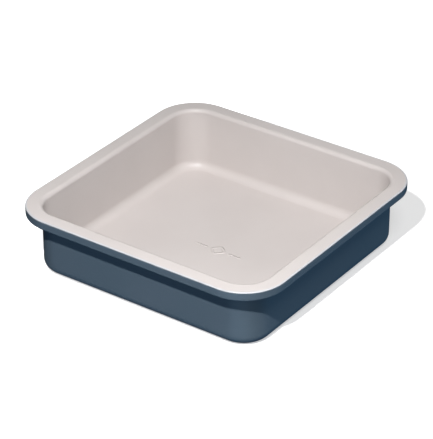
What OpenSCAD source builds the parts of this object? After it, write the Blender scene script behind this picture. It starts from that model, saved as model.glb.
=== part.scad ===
// Square cake pan: a drawn steel shell with a square-rolled rim, a wire in the roll,
// a light release coat inside and a dark coat outside.
// Origin: middle of the underside. +Z up. Millimetres.

/* [Pan] */
// Clear width between the side walls
opening_w = 203.2; // [120:0.1:330]
// Height from the table to the top of the rim
pan_h = 55; // [30:0.1:90]
// Corner radius of the opening, seen from above
corner_r = 21.6; // [12:0.1:40]
// Radius between the floor and the walls, measured on the underside
base_r = 8.3; // [3:0.1:11]

/* [Sheet and coats] */
// Thickness of the steel sheet
steel_t = 0.8; // [0.5:0.05:0.9]
// Thickness of each coat
coat_t = 0.2; // [0.1:0.05:0.3]

/* [Rim] */
// Distance that the rim stands out from the clear opening
rim_reach = 13.8; // [12:0.1:20]
// Height of the rolled edge
roll_h = 7.5; // [5.2:0.1:10]
// Width of the rolled edge
roll_w = 6.8; // [5.2:0.1:8]
// Radius where the wall turns out into the rim, on the inside of the pan
lip_r = 3.2; // [1.6:0.1:3.8]
// Radius of the rim's upper outside edge
edge_r = 1.4; // [1.4:0.1:2.5]
// Radius of the rim's lower outside edge
hem_r = 1.4; // [1.4:0.1:2.5]
// Angle above level at which the two coats meet on the rim's upper edge
coat_line = 36; // [15:1:75]

/* [Wire] */
// Room left round the wire inside the rolled edge
wire_play = 0.15; // [0.05:0.05:0.3]
// Gap between the two ends of the wire
wire_gap = 1; // [0.5:0.1:4]

/* [Floor mark] */
// Width of the plain raised mark in the middle of the floor
mark_w = 44; // [24:1:60]
// Height that the mark stands up from the floor
mark_h = 0.4; // [0.2:0.05:0.6]

/* [Hidden] */

$fn = 96;

// Depths into the sheet, from the inside surface to the outside one
steel_in = coat_t;
steel_out = coat_t + steel_t;
skin = coat_t * 2 + steel_t;

// The plan is a rounded square. Each section is drawn outwards from the
// square that joins the centres of its four corners.
core = opening_w / 2 - corner_r;

// Section: inside wall, rim, and the centres of the bends
rim_x = corner_r + rim_reach;
wall_out_x = corner_r + skin;
base_x = wall_out_x - base_r;
lip_x = corner_r + lip_r;
lip_z = pan_h - lip_r;
edge_x = rim_x - edge_r;
edge_z = pan_h - edge_r;
hem_x = rim_x - hem_r;
hem_z = pan_h - roll_h + hem_r;
roll_bottom = pan_h - roll_h;
roll_x = rim_x - roll_w;
curl_x = roll_x + hem_r;

// The curl's free edge stops just short of the underside of the rim
curl_gap = 0.3;
curl_top = pan_h - steel_out - curl_gap;

// The wire lies in the bottom of the roll, with its play all round
wire_d = min(roll_h, roll_w) - 2 * steel_out - 2 * wire_play;
wire_x = rim_x - roll_w / 2;
wire_z = roll_bottom + steel_out + wire_play + wire_d / 2;

// Floor mark: a diamond between two short bars
mark_line = 1.8;
mark_depth = mark_w / 3;
far = opening_w;

// One stretch of a straight sheet, drawn between two corners
module stretch(x0, z0, x1, z1) {
    translate([min(x0, x1), min(z0, z1)])
        square([abs(x1 - x0), abs(z1 - z0)]);
}

// A bend: part of a ring round (x, z), between two radii and two angles
module bend(x, z, r0, r1, from, to) {
    reach = r1 * 3;
    translate([x, z])
        difference() {
            intersection() {
                circle(r = r1);
                polygon([
                    [0, 0],
                    reach * [cos(from), sin(from)],
                    reach * [cos((from + to) / 2), sin((from + to) / 2)],
                    reach * [cos(to), sin(to)]
                ]);
            }
            circle(r = r0);
        }
}

// Floor, base radius and wall, as the layer between depths a and b
module tub_section(a, b) {
    stretch(0, skin - b, base_x, skin - a);
    bend(base_x, base_r, base_r - skin + a, base_r - skin + b, -90, 0);
    stretch(corner_r + a, base_r, corner_r + b, lip_z);
    bend(lip_x, lip_z, lip_r - b, lip_r - a, 90, 180);
}

// Flat top of the rim from the lip out to x, between depths a and b
module flange_section(a, b, x) {
    stretch(lip_x, pan_h - b, x, pan_h - a);
}

// Upper outside edge of the rim, between two angles above level
module edge_section(a, b, from, to) {
    bend(edge_x, edge_z, edge_r - b, edge_r - a, from, to);
}

// Outside of the roll: down the skirt, under it and up to height top
module roll_section(a, b, top) {
    stretch(rim_x - b, hem_z, rim_x - a, edge_z);
    bend(hem_x, hem_z, hem_r - b, hem_r - a, -90, 0);
    stretch(curl_x, roll_bottom + a, hem_x, roll_bottom + b);
    bend(curl_x, hem_z, hem_r - b, hem_r - a, 180, 270);
    stretch(roll_x + a, hem_z, roll_x + b, top);
}

// Carries a section round the rounded square
module round_the_pan() {
    for (turn = [0:90:270])
        rotate([0, 0, turn]) {
            translate([core, core, 0])
                rotate_extrude(angle = 90) children();
            translate([core, core, 0])
                rotate([90, 0, 0])
                    linear_extrude(height = 2 * core) children();
        }
}

// Flat middle of the floor, between depths a and b
module floor_plate(a, b) {
    translate([-core, -core, skin - b])
        cube([2 * core, 2 * core, b - a]);
}

// Outline of the plain mark
module mark_outline() {
    half = mark_depth / 2;
    bar = mark_w / 2 - half - mark_line;
    rotate(45)
        difference() {
            square(mark_depth / sqrt(2), center = true);
            square(mark_depth / sqrt(2) - 2 * mark_line, center = true);
        }
    for (side = [-1, 1])
        translate([side * (mark_w / 2 - bar / 2), 0])
            square([bar, mark_line], center = true);
}

// Drawn steel shell: floor, walls, rim and rolled edge in one sheet
module pan_body() {
    color("silver")
        union() {
            round_the_pan() {
                tub_section(steel_in, steel_out);
                flange_section(steel_in, steel_out, edge_x);
                edge_section(steel_in, steel_out, 0, 90);
                roll_section(steel_in, steel_out, curl_top);
            }
            floor_plate(steel_in, steel_out);
        }
}

// Steel wire held in the rolled edge, with a butt gap at the back
module rim_wire() {
    color("dimgray")
        difference() {
            round_the_pan()
                translate([wire_x, wire_z])
                    circle(d = wire_d);
            translate([-wire_gap / 2, 0, 0])
                cube([wire_gap, far, pan_h]);
        }
}

// Light release coat: floor, walls and the top of the rim
module interior_coating() {
    color([0.83, 0.79, 0.78])
        union() {
            round_the_pan() {
                tub_section(0, steel_in);
                flange_section(0, steel_in, edge_x);
                edge_section(0, steel_in, coat_line, 90);
            }
            floor_plate(0, steel_in);
            translate([0, 0, skin])
                linear_extrude(height = mark_h) mark_outline();
        }
}

// Dark coat: underside, outside walls and all round the rolled edge
module exterior_coating() {
    color([0.30, 0.37, 0.44])
        union() {
            round_the_pan() {
                tub_section(steel_out, skin);
                flange_section(steel_out, skin, roll_x + coat_t);
                edge_section(0, coat_t, 0, coat_line);
                roll_section(0, coat_t, pan_h - steel_out);
            }
            floor_plate(steel_out, skin);
        }
}

pan_body();
rim_wire();
interior_coating();
exterior_coating();
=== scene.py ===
import math

import bpy
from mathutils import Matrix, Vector


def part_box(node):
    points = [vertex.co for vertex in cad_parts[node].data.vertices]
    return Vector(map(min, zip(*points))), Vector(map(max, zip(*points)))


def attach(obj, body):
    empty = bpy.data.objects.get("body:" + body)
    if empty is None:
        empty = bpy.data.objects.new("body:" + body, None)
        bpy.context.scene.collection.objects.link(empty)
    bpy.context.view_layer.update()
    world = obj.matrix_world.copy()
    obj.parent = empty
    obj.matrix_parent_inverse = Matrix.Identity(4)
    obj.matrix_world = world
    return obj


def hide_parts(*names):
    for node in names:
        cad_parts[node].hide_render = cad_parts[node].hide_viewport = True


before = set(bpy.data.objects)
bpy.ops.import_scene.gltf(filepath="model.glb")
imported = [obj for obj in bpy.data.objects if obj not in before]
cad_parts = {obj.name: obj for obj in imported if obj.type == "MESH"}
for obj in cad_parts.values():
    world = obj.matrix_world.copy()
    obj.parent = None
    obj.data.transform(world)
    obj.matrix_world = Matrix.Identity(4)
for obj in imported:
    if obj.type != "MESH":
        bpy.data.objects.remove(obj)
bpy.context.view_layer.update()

# Square cake pan: a drawn steel shell with a square-rolled rim, a light release
# coat inside and a blue coat outside. Metres. Origin in the middle of the
# underside, +Z up, the raised mark in the floor along X.

MM = 0.001

# ---------------------------------------------------------------- sizes

steel_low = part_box("pan_body")[0]
inner_low, inner_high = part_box("interior_coating")
outer_low, outer_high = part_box("exterior_coating")

# Overall sizes come from the frame
RIM_HALF = outer_high.x
PAN_TOP = inner_high.z
COAT = steel_low.z - outer_low.z
FLOOR_TOP = inner_low.z + COAT
SKIN = FLOOR_TOP - outer_low.z

# Corners and bends of the sheet
CORNER_R = 21.6 * MM
RIM_REACH = 13.8 * MM
BASE_R = 8.3 * MM
LIP_R = 3.2 * MM
EDGE_R = 1.4 * MM
HEM_R = 1.4 * MM
ROLL_H = 7.5 * MM
ROLL_W = 6.8 * MM
# Degrees above level, on the rim's upper edge, at which the two coats meet
COAT_LINE = 36
# Slope of the slight crown on the rim, in the light coat's shading
RIM_FALL = 0.07

# The plan is a rounded square. A section is drawn outwards from the square that
# joins the centres of its corners, so "reach" means distance from that square.
CORE = RIM_HALF - RIM_REACH - CORNER_R
RIM_X = CORNER_R + RIM_REACH
WALL_OUT = CORNER_R + SKIN
BASE_X = WALL_OUT - BASE_R
LIP_X = CORNER_R + LIP_R
LIP_Z = PAN_TOP - LIP_R
EDGE_X = RIM_X - EDGE_R
EDGE_Z = PAN_TOP - EDGE_R
HEM_X = RIM_X - HEM_R
HEM_Z = PAN_TOP - ROLL_H + HEM_R
ROLL_X = RIM_X - ROLL_W
CURL_X = ROLL_X + HEM_R
# The swept part of the floor starts here, and flat plates fill the middle
FLOOR_START = BASE_X - 3 * MM

# Fineness of the meshes
CORNER_STEPS = 24
SIDE_STEPS = 14
BEND_STEP = 5

# Mark in the middle of the floor: a diamond between two short bars
MARK_W = 44 * MM
MARK_DEPTH = MARK_W / 3
MARK_LINE = 1.8 * MM
# The bead that draws it lies with its dome down in the sheet and its flat foot up
MARK_DOME = 0.4 * MM
MARK_FOOT = 0.1 * MM


# ---------------------------------------------------------------- node trees

class Signal:
    """An output socket that can be used in arithmetic."""

    def __init__(self, tree, socket):
        self.tree = tree
        self.socket = socket

    def math(self, operation, *values):
        """A Math node on the given values, this signal being one of them."""
        places = dict(enumerate(values))
        return self.tree.add("ShaderNodeMath", {"operation": operation}, places)[0]

    def __add__(self, other):
        return self.math("ADD", self, other)

    def __radd__(self, other):
        return self.math("ADD", other, self)

    def __sub__(self, other):
        return self.math("SUBTRACT", self, other)

    def __rsub__(self, other):
        return self.math("SUBTRACT", other, self)

    def __mul__(self, other):
        return self.math("MULTIPLY", self, other)

    def __rmul__(self, other):
        return self.math("MULTIPLY", other, self)

    def __truediv__(self, other):
        return self.math("DIVIDE", self, other)

    def __lt__(self, other):
        return self.math("LESS_THAN", self, other)

    def __gt__(self, other):
        return self.math("GREATER_THAN", self, other)

    def __abs__(self):
        return self.math("ABSOLUTE", self)

    def floor(self):
        return self.math("FLOOR", self)

    def root(self):
        return self.math("SQRT", self)

    def at_least(self, other):
        return self.math("MAXIMUM", self, other)

    def at_most(self, other):
        return self.math("MINIMUM", self, other)

    def step(self, low, high):
        """0 below low, 1 above high, and a smooth rise between them."""
        return self.tree.add("ShaderNodeMapRange", {"interpolation_type": "SMOOTHSTEP"}, {
            "Value": self, "From Min": low, "From Max": high,
        })["Result"]


class Outputs:
    """A node's outputs, by name or number, as signals."""

    def __init__(self, tree, node):
        self.tree = tree
        self.node = node

    def __getitem__(self, key):
        return Signal(self.tree, self.node.outputs[key])


class Tree:
    """Adds nodes to a node tree."""

    def __init__(self, node_tree):
        self.node_tree = node_tree

    def add(self, kind, settings=None, sockets=None):
        """A node of a type, with its settings set first and then its sockets."""
        node = self.node_tree.nodes.new(kind)
        for key, value in (settings or {}).items():
            setattr(node, key, value)
        for key, value in (sockets or {}).items():
            self.feed(node.inputs[key], value)
        return Outputs(self, node)

    def feed(self, socket, value):
        """Links a signal or a list of signals to a socket, or sets the socket's own value."""
        if isinstance(value, Signal):
            self.node_tree.links.new(value.socket, socket)
        elif isinstance(value, list):
            for part in value:
                self.node_tree.links.new(part.socket, socket)
        else:
            socket.default_value = value


# ---------------------------------------------------------------- sections

def bend(x, z, radius, start, end):
    """Points along an arc round (x, z), from one angle to another in degrees."""
    steps = max(2, round(abs(end - start) / BEND_STEP))
    angles = [math.radians(start + (end - start) * i / steps) for i in range(steps + 1)]
    return [(x + radius * math.cos(a), z + radius * math.sin(a)) for a in angles]


def with_supports(points):
    """The same outline, with points near both ends of each long flat, to keep it flat."""
    near = 0.4 * MM
    result = [points[0]]
    for (x0, z0), (x1, z1) in zip(points, points[1:]):
        length = math.hypot(x1 - x0, z1 - z0)
        if length > 4 * near:
            for share in (near / length, 0.5, 1 - near / length):
                result.append((x0 + (x1 - x0) * share, z0 + (z1 - z0) * share))
        result.append((x1, z1))
    return result


def inside_surface(depth, line):
    """Floor, wall, lip, rim and its edge down to the coat line, this deep in the sheet."""
    return (
        [(FLOOR_START, SKIN - depth)]
        + bend(BASE_X, BASE_R, BASE_R - SKIN + depth, -90, 0)
        + bend(LIP_X, LIP_Z, LIP_R - depth, 180, 90)
        + bend(EDGE_X, EDGE_Z, EDGE_R - depth, 90, line)
    )


def outside_surface(depth, line):
    """Underside, wall, lip and all round the roll up to the coat line."""
    paint_fillet = 0.4 * MM - depth / 2
    under_rim = PAN_TOP - SKIN + depth
    return (
        [(FLOOR_START, depth)]
        + bend(BASE_X, BASE_R, BASE_R - depth, -90, 0)
        + bend(LIP_X, LIP_Z, LIP_R - SKIN + depth, 180, 90)
        + bend(ROLL_X + depth - paint_fillet, under_rim - paint_fillet, paint_fillet, 90, 0)
        + bend(CURL_X, HEM_Z, HEM_R - depth, 180, 270)
        + bend(HEM_X, HEM_Z, HEM_R - depth, -90, 0)
        + bend(EDGE_X, EDGE_Z, EDGE_R - depth, 0, line)
    )


def coat_section(surface, upper_depth, lower_depth):
    """A coat's outline: out along its upper face and back along its lower one. It is
    open at the floor, where flat plates close it."""
    upper = with_supports(surface(upper_depth, COAT_LINE))
    lower = with_supports(surface(lower_depth, COAT_LINE))
    return upper + lower[::-1]


def section_curve(name, points, closed):
    """A section as a poly curve, X outwards and Y up, to be carried round a rail."""
    data = bpy.data.curves.new(name, "CURVE")
    data.dimensions = "3D"
    spline = data.splines.new("POLY")
    spline.points.add(len(points) - 1)
    for point, (x, z) in zip(spline.points, points):
        point.co = (x, z, 0, 1)
    spline.use_cyclic_u = closed
    obj = bpy.data.objects.new(name, data)
    bpy.context.scene.collection.objects.link(obj)
    return obj


# ---------------------------------------------------------------- geometry nodes

def tree_inputs(node_tree, inputs):
    """Declares a geometry tree's named inputs and its one output."""
    face = node_tree.interface
    for name, kind in inputs.items():
        face.new_socket(name=name, in_out="INPUT", socket_type=kind)
    face.new_socket(name="Geometry", in_out="OUTPUT", socket_type="NodeSocketGeometry")


ROUND_POINTS = 4 * (CORNER_STEPS + SIDE_STEPS)


def rounded_square(tree, ring, core, radius):
    """Moves a ring's points onto the rounded square, where each quarter is a corner and a
    side. Gives the ring and the level direction that points out of the pan."""
    index = tree.add("GeometryNodeInputIndex")["Index"]
    quarter = (index / (CORNER_STEPS + SIDE_STEPS)).floor()
    along = index - quarter * (CORNER_STEPS + SIDE_STEPS)
    turn = (along / CORNER_STEPS).at_most(1)
    run = ((along - CORNER_STEPS) / SIDE_STEPS).at_least(0)
    angle = (quarter + turn) * (math.pi / 2)
    # Directions of this corner's centre and of the next one's
    this_way = (quarter + 0.5) * (math.pi / 2)
    next_way = (quarter + 1.5) * (math.pi / 2)

    def across(wave):
        """Position and outward direction along X, from cosines, or along Y, from sines."""
        here = this_way.math(wave, this_way)
        there = next_way.math(wave, next_way)
        outward = angle.math(wave, angle)
        return core * math.sqrt(2) * (here + (there - here) * run) + radius * outward, outward

    place_x, out_x = across("COSINE")
    place_y, out_y = across("SINE")
    position = tree.add("ShaderNodeCombineXYZ", None, {"X": place_x, "Y": place_y})["Vector"]
    outward = tree.add("ShaderNodeCombineXYZ", None, {"X": out_x, "Y": out_y})["Vector"]
    moved = tree.add("GeometryNodeSetPosition", None, {"Geometry": ring, "Position": position})
    return moved["Geometry"], outward


def carried_round_tree():
    """A section carried round the rounded square, with a flat floor closing each end."""
    node_tree = bpy.data.node_groups.new("carried_round_the_pan", "GeometryNodeTree")
    tree_inputs(node_tree, {
        "Section": "NodeSocketObject",
        "Core": "NodeSocketFloat",
        "Corner radius": "NodeSocketFloat",
        "Floor start": "NodeSocketFloat",
        "Floor upper": "NodeSocketFloat",
        "Floor lower": "NodeSocketFloat",
        "Sharp above": "NodeSocketFloat",
        "Material": "NodeSocketMaterial",
    })
    tree = Tree(node_tree)
    given = tree.add("NodeGroupInput")
    core = given["Core"]

    ring = tree.add("GeometryNodeCurvePrimitiveCircle", None, {"Resolution": ROUND_POINTS})
    rail, outward = rounded_square(tree, ring["Curve"], core, given["Corner radius"])
    upright = tree.add("GeometryNodeSetCurveNormal", {"mode": "FREE"}, {
        "Curve": rail, "Normal": outward,
    })["Curve"]
    section = tree.add("GeometryNodeObjectInfo", None, {"Object": given["Section"]})["Geometry"]
    # The section is drawn from the core, and the rail runs at the corner radius
    shift = tree.add("ShaderNodeCombineXYZ", None, {"X": 0.0 - given["Corner radius"]})["Vector"]
    seated = tree.add("GeometryNodeTransform", None, {
        "Geometry": section, "Translation": shift,
    })["Geometry"]
    upside = tree.add("GeometryNodeTransform", None, {
        "Geometry": seated, "Scale": (1, -1, 1),
    })["Geometry"]
    shell = tree.add("GeometryNodeCurveToMesh", None, {
        "Curve": upright, "Profile Curve": upside, "Fill Caps": False,
    })["Mesh"]

    disc = tree.add("GeometryNodeMeshCircle", {"fill_type": "NGON"}, {"Vertices": ROUND_POINTS})
    plate, outward = rounded_square(tree, disc["Mesh"], core, given["Floor start"])
    turned = tree.add("GeometryNodeFlipFaces", None, {"Mesh": plate})["Mesh"]

    def floor_face(face, height):
        """A flat face lifted to a height."""
        lift = tree.add("ShaderNodeCombineXYZ", None, {"Z": height})["Vector"]
        return tree.add("GeometryNodeTransform", None, {
            "Geometry": face, "Translation": lift,
        })["Geometry"]

    joined = tree.add("GeometryNodeJoinGeometry", None, {"Geometry": [
        shell, floor_face(plate, given["Floor upper"]), floor_face(turned, given["Floor lower"]),
    ]})["Geometry"]
    welded = tree.add("GeometryNodeMergeByDistance", None, {
        "Geometry": joined, "Distance": 0.01 * MM,
    })["Geometry"]
    smooth = tree.add("GeometryNodeSetShadeSmooth", {"domain": "FACE"}, {
        "Geometry": welded, "Shade Smooth": True,
    })["Geometry"]
    fold = tree.add("GeometryNodeInputMeshEdgeAngle")["Unsigned Angle"]
    creased = tree.add("GeometryNodeSetShadeSmooth", {"domain": "EDGE"}, {
        "Geometry": smooth, "Selection": fold > given["Sharp above"], "Shade Smooth": False,
    })["Geometry"]
    finish_tree(tree, creased, given["Material"])
    return node_tree


def mark_tree():
    """The plain mark on the floor: a diamond between two bars, drawn with a thin bead."""
    node_tree = bpy.data.node_groups.new("floor_mark", "GeometryNodeTree")
    tree_inputs(node_tree, {
        "Bead": "NodeSocketObject",
        "Width": "NodeSocketFloat",
        "Depth": "NodeSocketFloat",
        "Line": "NodeSocketFloat",
        "Level": "NodeSocketFloat",
        "Material": "NodeSocketMaterial",
    })
    tree = Tree(node_tree)
    given = tree.add("NodeGroupInput")
    half_line = given["Line"] / 2
    diagonal = given["Depth"] - given["Line"] * math.sqrt(2)
    kite = tree.add("GeometryNodeCurvePrimitiveQuadrilateral", {"mode": "KITE"}, {
        "Width": diagonal, "Bottom Height": diagonal / 2, "Top Height": diagonal / 2,
    })["Curve"]
    diamond = tree.add("GeometryNodeFilletCurve", {"mode": "POLY"}, {
        "Curve": kite, "Count": 6, "Radius": given["Line"],
    })["Curve"]
    lines = [diamond]
    for side in (-1, 1):
        near = (given["Depth"] / 2 + given["Line"] + half_line) * side
        far = (given["Width"] / 2 - half_line) * side
        lines.append(tree.add("GeometryNodeCurvePrimitiveLine", None, {
            "Start": tree.add("ShaderNodeCombineXYZ", None, {"X": near})["Vector"],
            "End": tree.add("ShaderNodeCombineXYZ", None, {"X": far})["Vector"],
        })["Curve"])
    drawn = tree.add("GeometryNodeJoinGeometry", None, {"Geometry": lines})["Geometry"]
    level = tree.add("GeometryNodeSetCurveNormal", {"mode": "Z_UP"}, {"Curve": drawn})["Curve"]
    bead = tree.add("GeometryNodeObjectInfo", None, {"Object": given["Bead"]})["Geometry"]
    solid = tree.add("GeometryNodeCurveToMesh", None, {
        "Curve": level, "Profile Curve": bead, "Fill Caps": True,
    })["Mesh"]
    lift = tree.add("ShaderNodeCombineXYZ", None, {"Z": given["Level"]})["Vector"]
    seated = tree.add("GeometryNodeTransform", None, {
        "Geometry": solid, "Translation": lift,
    })["Geometry"]
    finish_tree(tree, seated, given["Material"])
    return node_tree


def finish_tree(tree, geometry, material):
    """The end of every geometry tree."""
    real = tree.add("GeometryNodeRealizeInstances", None, {"Geometry": geometry})["Geometry"]
    painted = tree.add("GeometryNodeSetMaterial", None, {
        "Geometry": real, "Material": material,
    })["Geometry"]
    tree.add("NodeGroupOutput", None, {"Geometry": painted})


def grow(name, node_tree, values, spent=()):
    """Runs a geometry tree and keeps its result as a plain mesh object."""
    seed = bpy.data.objects.new(name, bpy.data.meshes.new(name + "_seed"))
    bpy.context.scene.collection.objects.link(seed)
    modifier = seed.modifiers.new("grow", "NODES")
    modifier.node_group = node_tree
    for item in node_tree.interface.items_tree:
        if item.in_out == "INPUT" and item.name in values:
            modifier[item.identifier] = values[item.name]
    depsgraph = bpy.context.evaluated_depsgraph_get()
    mesh = bpy.data.meshes.new_from_object(seed.evaluated_get(depsgraph))
    seed.modifiers.remove(modifier)
    seed.data = mesh
    mesh.name = name
    for obj in spent:
        bpy.data.objects.remove(obj)
    return seed


# ---------------------------------------------------------------- materials

def new_material(name):
    """An empty material and the means to add nodes to it."""
    material = bpy.data.materials.new(name)
    material.use_nodes = True
    material.node_tree.nodes.clear()
    return material, Tree(material.node_tree)


def output(tree, surface):
    """The end of every material."""
    tree.add("ShaderNodeOutputMaterial", None, {"Surface": surface})


def place_signals(tree):
    """Where a point is: its position, its reach from the core square and its height."""
    position = tree.add("ShaderNodeTexCoord")["Object"]
    parts = tree.add("ShaderNodeSeparateXYZ", None, {"Vector": position})
    side = (abs(parts["X"]) - CORE).at_least(0)
    depth = (abs(parts["Y"]) - CORE).at_least(0)
    reach = (side * side + depth * depth).root()
    return position, reach, parts["Z"]


def noise(tree, position, size, detail=2.0, roughness=0.5):
    """Noise whose features are about this size in metres, from 0 to 1."""
    return tree.add("ShaderNodeTexNoise", None, {
        "Vector": position, "Scale": 1 / size, "Detail": detail, "Roughness": roughness,
    })["Fac"]


def specks(tree, position, size, share):
    """Small round specks, in this share of the cells of a grid of this size."""
    cells = tree.add("ShaderNodeTexVoronoi", None, {"Vector": position, "Scale": 1 / size})
    pick = tree.add("ShaderNodeSeparateColor", None, {"Color": cells["Color"]})
    body = 1 - cells["Distance"].step(0.12, 0.34)
    return body * (pick["Red"] < share)


def blend_colour(tree, factor, first, second):
    """The first colour where factor is 0 and the second one where it is 1."""
    return tree.add("ShaderNodeMix", {"data_type": "RGBA"}, {0: factor, 6: first, 7: second})[2]


def bump(tree, height, metres, normal=None):
    """A normal tilted by a height signal, on top of another normal if one is given."""
    sockets = {"Height": height, "Distance": metres, "Strength": 1.0}
    if normal is not None:
        sockets["Normal"] = normal
    return tree.add("ShaderNodeBump", None, sockets)["Normal"]


def coat_line_mask(tree, position, reach, height):
    """How far a point on the rim's upper edge lies above the line between the coats,
    in degrees, with the slight wander of a sprayed edge."""
    angle = (height - EDGE_Z).math("ARCTAN2", height - EDGE_Z, reach - EDGE_X)
    wander = (noise(tree, position, 9 * MM) - 0.5) * 8
    return angle * math.degrees(1) + wander - COAT_LINE


# Base colours, as linear red, green, blue and alpha
INSIDE_TONE = (0.530, 0.489, 0.474, 1)
INSIDE_PALE = (0.554, 0.513, 0.498, 1)
INSIDE_FLECK = (0.46, 0.41, 0.39, 1)
# Painted highlight: pale neutral colour for the bright line of light along the rim's outer edge
INSIDE_EDGE_HIGHLIGHT = (0.52, 0.52, 0.54, 1)
OUTSIDE_TONE = (0.060, 0.088, 0.112, 1)
OUTSIDE_PALE = (0.065, 0.091, 0.116, 1)
OUTSIDE_FLECK = (0.095, 0.140, 0.185, 1)
STEEL_DARK = (0.50, 0.50, 0.49, 1)
STEEL_PALE = (0.60, 0.60, 0.59, 1)
STEEL_STAIN = (0.42, 0.42, 0.42, 1)
WIRE_DARK = (0.40, 0.40, 0.39, 1)
WIRE_PALE = (0.54, 0.53, 0.51, 1)


def release_coat():
    """Light ceramic release coat: satin, with a fine orange peel and faint flecks."""
    material, tree = new_material("light_release_coat")
    position, reach, height = place_signals(tree)
    cloud = noise(tree, position, 70 * MM, 3)
    peel = noise(tree, position, 1.1 * MM, 2)
    grain = noise(tree, position, 0.22 * MM, 1)
    flecks = specks(tree, position, 0.9 * MM, 0.22)

    colour = blend_colour(tree, cloud.step(0.3, 0.7), INSIDE_TONE, INSIDE_PALE)
    colour = blend_colour(tree, flecks * 0.16, colour, INSIDE_FLECK)
    # Painted highlight: the coat is drawn paler and neutral where it turns over the rim's outer
    # edge, standing in for the bright line of light along that edge
    painted_edge_highlight = reach.step(EDGE_X - 0.5 * MM, EDGE_X + 0.3 * MM)
    colour = blend_colour(tree, painted_edge_highlight, colour, INSIDE_EDGE_HIGHLIGHT)
    # It thins out where it meets the blue one
    above = coat_line_mask(tree, position, reach, height)
    thin = (1 - above.step(-5, 4)) * (reach > EDGE_X)
    colour = blend_colour(tree, thin * 0.5, colour, OUTSIDE_PALE)

    roughness = 0.42 + (cloud - 0.5) * 0.08 + (peel - 0.5) * 0.06 + thin * 0.1
    # The rim is slightly crowned: it falls a little towards its outer edge
    fall = (LIP_X - reach.at_least(LIP_X).at_most(EDGE_X)) * RIM_FALL
    flow = bump(tree, noise(tree, position, 32 * MM, 1), 0.09 * MM, bump(tree, fall, 1.0))
    peeled = bump(tree, peel, 0.010 * MM, flow)
    normal = bump(tree, grain, 0.0022 * MM, peeled)
    shader = tree.add("ShaderNodeBsdfPrincipled", None, {
        "Base Color": colour, "Roughness": roughness, "Normal": normal,
        "IOR": 1.5, "Coat Weight": 0.15, "Coat Roughness": 0.2, "Coat IOR": 1.5,
    })["BSDF"]
    output(tree, shader)
    return material


def outer_coat():
    """Blue outside coat: satin, with a slightly coarser orange peel."""
    material, tree = new_material("blue_outer_coat")
    position, reach, height = place_signals(tree)
    cloud = noise(tree, position, 60 * MM, 3)
    peel = noise(tree, position, 1.3 * MM, 2)
    grain = noise(tree, position, 0.25 * MM, 1)
    flecks = specks(tree, position, 0.8 * MM, 0.25)

    colour = blend_colour(tree, cloud.step(0.3, 0.7), OUTSIDE_TONE, OUTSIDE_PALE)
    colour = blend_colour(tree, flecks * 0.22, colour, OUTSIDE_FLECK)
    # Overspray of the light coat just below the line on the rim's edge
    above = coat_line_mask(tree, position, reach, height)
    mist = specks(tree, position, 0.35 * MM, 0.6)
    overspray = above.step(-14, 0) * (reach > EDGE_X) * (0.15 + 0.5 * mist)
    colour = blend_colour(tree, overspray, colour, INSIDE_TONE)
    # Racks rub the coat a little smoother round the foot of the pan
    foot = 1 - height.step(0.4 * MM, 3.5 * MM)
    rubbed = foot * noise(tree, position, 5 * MM, 4, 0.65).step(0.45, 0.7)
    colour = blend_colour(tree, rubbed * 0.14, colour, OUTSIDE_FLECK)

    roughness = 0.60 + (cloud - 0.5) * 0.08 + (peel - 0.5) * 0.07 - rubbed * 0.08
    flow = bump(tree, noise(tree, position, 28 * MM, 1), 0.08 * MM)
    peeled = bump(tree, peel, 0.014 * MM, flow)
    normal = bump(tree, grain, 0.003 * MM, peeled)
    shader = tree.add("ShaderNodeBsdfPrincipled", None, {
        "Base Color": colour, "Roughness": roughness, "Normal": normal, "IOR": 1.5,
        "Specular IOR Level": 0.9,
    })["BSDF"]
    output(tree, shader)
    return material


def rolled_steel():
    """Bare sheet steel, with the grain of the rolling mill along X."""
    material, tree = new_material("sheet_steel")
    position, reach, height = place_signals(tree)
    stretched = tree.add("ShaderNodeMapping", None, {
        "Vector": position, "Scale": (0.03, 1, 1),
    })["Vector"]
    grain = noise(tree, stretched, 0.4 * MM, 3)
    stain = noise(tree, position, 40 * MM, 3)
    colour = blend_colour(tree, grain, STEEL_DARK, STEEL_PALE)
    colour = blend_colour(tree, stain * 0.3, colour, STEEL_STAIN)
    shader = tree.add("ShaderNodeBsdfPrincipled", None, {
        "Base Color": colour, "Metallic": 1.0,
        "Roughness": 0.34 + grain * 0.14, "Normal": bump(tree, grain, 0.004 * MM),
    })["BSDF"]
    output(tree, shader)
    return material


def drawn_wire():
    """Drawn steel wire, with fine lines from the die."""
    material, tree = new_material("steel_wire")
    position, reach, height = place_signals(tree)
    across = tree.add("ShaderNodeCombineXYZ", None, {"X": reach, "Y": height})["Vector"]
    lines = noise(tree, across, 0.15 * MM, 2)
    tarnish = noise(tree, position, 25 * MM, 3)
    colour = blend_colour(tree, tarnish, WIRE_DARK, WIRE_PALE)
    shader = tree.add("ShaderNodeBsdfPrincipled", None, {
        "Base Color": colour, "Metallic": 1.0,
        "Roughness": 0.28 + lines * 0.16, "Normal": bump(tree, lines, 0.004 * MM),
    })["BSDF"]
    output(tree, shader)
    return material


# ---------------------------------------------------------------- the pan

CARRIED_ROUND = carried_round_tree()


# Edges folded more than this stay sharp, in degrees
SHARP_FOLD = 40


def coat_piece(name, section_points, upper, lower, material):
    """One coat as a closed shell, made by carrying its section round the pan."""
    section = section_curve(name + "_section", section_points, False)
    return grow(name, CARRIED_ROUND, {
        "Section": section, "Core": CORE, "Corner radius": CORNER_R,
        "Floor start": FLOOR_START, "Floor upper": upper, "Floor lower": lower,
        "Sharp above": math.radians(SHARP_FOLD), "Material": material,
    }, [section])


RELEASE_COAT = release_coat()
inside = coat_piece("inside_coat", coat_section(inside_surface, 0, COAT),
                    FLOOR_TOP, FLOOR_TOP - COAT, RELEASE_COAT)
outside = coat_piece("outside_coat", coat_section(outside_surface, COAT, 0),
                     COAT, 0.0, outer_coat())


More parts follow.
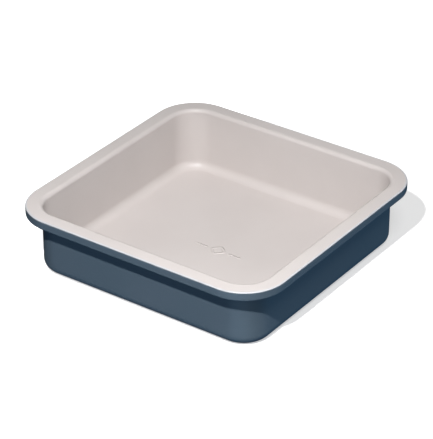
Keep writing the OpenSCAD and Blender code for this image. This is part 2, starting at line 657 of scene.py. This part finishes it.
def bead_section():
    """The bead that draws the mark: a dome and a flat foot, on either side of the floor's
    level. Carried along the mark's lines it turns over, so only the foot shows."""
    half = MARK_LINE / 2
    dome = bend(0, 0, 1, 0, 180)
    points = [(x * half, z * MARK_DOME) for x, z in dome]
    return points + [(-half, -MARK_FOOT), (half, -MARK_FOOT)]


bead = section_curve("bead_section", bead_section(), True)
mark = grow("floor_mark", mark_tree(), {
    "Bead": bead, "Width": MARK_W, "Depth": MARK_DEPTH, "Line": MARK_LINE,
    "Level": FLOOR_TOP, "Material": RELEASE_COAT,
}, [bead])

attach(mark, "root")
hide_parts("interior_coating")
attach(inside, "root")
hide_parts("interior_coating")
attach(outside, "root")
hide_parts("exterior_coating")

for node, material in (("pan_body", rolled_steel()), ("rim_wire", drawn_wire())):
    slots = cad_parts[node].data.materials
    slots.clear()
    slots.append(material)

# ---------------------------------------------------------------- studio

# Camera: seen from the front right and above, through a long lens
AZIMUTH, ELEVATION = math.radians(35.45), math.radians(30.52)
DISTANCE = 1.8019
AIM = Vector((-0.0297, 0.0396, 0))
LENS = 184.75

camera_data = bpy.data.cameras.new("camera")
camera_data.sensor_width = 36
camera_data.lens = LENS
camera_data.clip_start = 0.05
camera = bpy.data.objects.new("camera", camera_data)
bpy.context.scene.collection.objects.link(camera)
back = Vector((
    math.sin(AZIMUTH) * math.cos(ELEVATION),
    -math.cos(AZIMUTH) * math.cos(ELEVATION),
    math.sin(ELEVATION),
))
camera.location = AIM + back * DISTANCE
camera.rotation_mode = "QUATERNION"
camera.rotation_quaternion = (-back).to_track_quat("-Z", "Y")
bpy.context.scene.camera = camera


def area_light(name, place, aim, size, watts, spread):
    """A round soft light that faces a point, its beam this many degrees wide."""
    data = bpy.data.lights.new(name, "AREA")
    data.shape = "DISK"
    data.size = size
    data.energy = watts
    data.spread = math.radians(spread)
    light = bpy.data.objects.new(name, data)
    bpy.context.scene.collection.objects.link(light)
    light.location = place
    light.rotation_mode = "QUATERNION"
    light.rotation_quaternion = (Vector(aim) - Vector(place)).to_track_quat("-Z", "Y")


# One small key light with a brighter core, and a weak soft fill from the right
KEY_PLACE = (0.3238, -0.8577, 1.0498)
KEY_SIZE = 0.03
area_light("key", KEY_PLACE, (0, -0.05, 0.03), KEY_SIZE, 9.4, 180)
area_light("key_core", KEY_PLACE, (0.12, -0.22, 0), KEY_SIZE, 1.9, 70)
area_light("fill", (0.38, -0.20, 0.60), (0.10, 0.05, 0), 0.2, 1.25, 180)


def studio_world():
    """What a lit room sends from every side: pale from behind and above, cool from
    below, where the light comes back off the table."""
    overhead = (0.15, 0.15, 0.15)
    sharpness = 6.0
    # Each glow's direction and colour
    glows = [
        ((0.683, 0.683, 0.259), (0.36, 0.36, 0.36)),
        ((0.354, 0.612, 0.707), (0.16, 0.16, 0.16)),
        ((0.8, -0.1, 0.6), (0.30, 0.30, 0.30)),
        ((0.612, 0.612, -0.5), (0, 0.25, 0.57)),
        ((0, -0.7, -0.714), (0.20, 0.40, 0.72)),
        ((-0.75, 0.5, 0.43), (0.45, 0.45, 0.45)),
        ((0.433, -0.75, -0.5), (0.38, 0.56, 0.69)),
    ]
    world = bpy.data.worlds.new("studio")
    world.use_nodes = True
    world.node_tree.nodes.clear()
    tree = Tree(world.node_tree)
    direction = tree.add("ShaderNodeTexCoord")["Generated"]
    up = tree.add("ShaderNodeSeparateXYZ", None, {"Vector": direction})["Z"]

    def tinted(amount, colour):
        """A colour scaled by a signal."""
        return tree.add("ShaderNodeVectorMath", {"operation": "SCALE"}, {
            0: colour, "Scale": amount,
        })["Vector"]

    light = tinted(up.at_least(0), overhead)
    for way, colour in glows:
        facing = tree.add("ShaderNodeVectorMath", {"operation": "DOT_PRODUCT"}, {
            0: direction, 1: Vector(way).normalized(),
        })["Value"].at_least(0)
        glow = tinted(facing.math("POWER", facing, sharpness), colour)
        light = tree.add("ShaderNodeVectorMath", {"operation": "ADD"}, {
            0: light, 1: glow,
        })["Vector"]
    sky = tree.add("ShaderNodeBackground", None, {"Color": light, "Strength": 1.0})["Background"]
    tree.add("ShaderNodeOutputWorld", None, {"Surface": sky})
    bpy.context.scene.world = world


def studio_floor():
    """A plain pale floor, bright enough to read as white. The world stands in for the
    light that it throws back, so it takes no part in what the pan reflects. It glows more
    to the left of the pan and behind it, where it stays white in the pan's shadow."""
    half = 6.0
    grey = (0.62, 0.62, 0.62, 1)
    faint = (0.495, 0.495, 0.495, 1)
    full = (1, 1, 1, 1)
    mesh = bpy.data.meshes.new("floor")
    corners = [(-half, -half), (half, -half), (half, half), (-half, half)]
    mesh.from_pydata([(x, y, -0.02 * MM) for x, y in corners], [], [(0, 1, 2, 3)])
    floor = bpy.data.objects.new("floor", mesh)
    bpy.context.scene.collection.objects.link(floor)
    material, tree = new_material("floor")
    parts = tree.add("ShaderNodeSeparateXYZ", None, {
        "Vector": tree.add("ShaderNodeTexCoord")["Object"],
    })
    left = 1 - parts["X"].step(-0.13, -0.08)
    behind = parts["Y"].step(0.19, 0.26)
    output(tree, tree.add("ShaderNodeBsdfPrincipled", None, {
        "Base Color": grey, "Roughness": 1.0, "Specular IOR Level": 0.0,
        "Emission Color": blend_colour(tree, left.at_least(behind), faint, full),
        "Emission Strength": 1.0,
    })["BSDF"])
    mesh.materials.append(material)
    floor.visible_diffuse = False
    floor.visible_glossy = False


studio_world()
studio_floor()
bpy.context.scene.view_settings.view_transform = "Standard"
